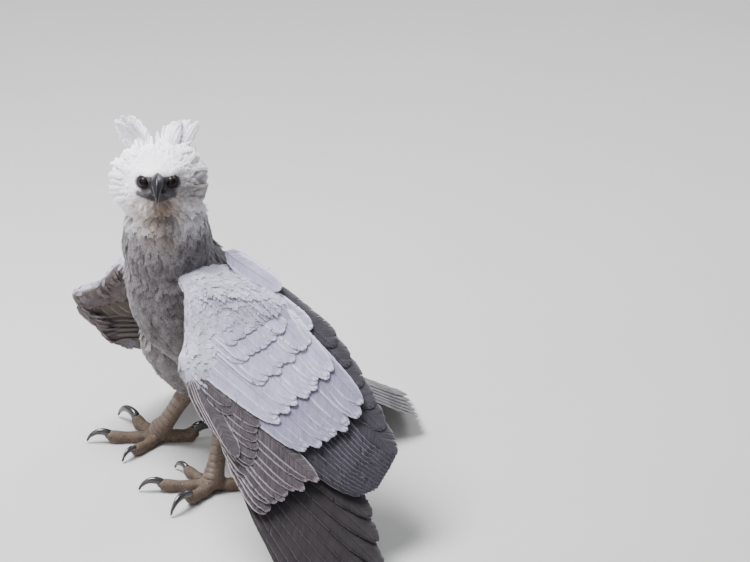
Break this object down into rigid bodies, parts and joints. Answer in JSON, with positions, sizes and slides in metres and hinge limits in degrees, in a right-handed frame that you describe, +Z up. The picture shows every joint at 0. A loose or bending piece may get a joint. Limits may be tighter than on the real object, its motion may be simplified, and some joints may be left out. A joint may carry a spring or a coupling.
{
  "type": "harpy eagle",
  "caption": "Standing harpy eagle, a still life-size model: head turned to its left under a raised crest, left wing let down to the floor, right wing half closed.",
  "frame": {"origin": "bottom centre of the bounding box, on the floor that the feet stand on", "axes": "+Z up; the trunk faces -Y and the bird's left side is +X, where the lowered wing reaches out"},
  "size_m": [0.9164, 0.5746, 0.6339],
  "materials": {
    "white_feather": "soft downy white and pale grey feathers",
    "grey_feather": "soft grey body feathers with pale edges",
    "covert_feather": "pale grey wing feathers with white tips, darker along the flight feathers",
    "dark_feather": "grey feathers with dark bars",
    "bare_skin": "matt scaly skin, yellowish grey",
    "horn": "smooth dark horn",
    "eye": "wet and very smooth"
  },
  "bodies": {
    "root": {"torso": "grey_feather", "neck": "grey_feather", "head": "white_feather", "left_eye": "eye", "right_eye": "eye", "upper_bill": "horn", "lower_bill": "horn", "left_thigh": "white_feather", "left_tarsus": "bare_skin", "left_toe_1": "bare_skin", "left_toe_2": "bare_skin", "left_toe_3": "bare_skin", "left_toe_4": "bare_skin", "left_claw_1": "horn", "left_claw_2": "horn", "left_claw_3": "horn", "left_claw_4": "horn", "right_thigh": "white_feather", "right_tarsus": "bare_skin", "right_toe_1": "bare_skin", "right_toe_2": "bare_skin", "right_toe_3": "bare_skin", "right_toe_4": "bare_skin", "right_claw_1": "horn", "right_claw_2": "horn", "right_claw_3": "horn", "right_claw_4": "horn", "tail": "dark_feather", "left_wing": "covert_feather", "right_wing": "covert_feather"}
  },
  "joints": []
}
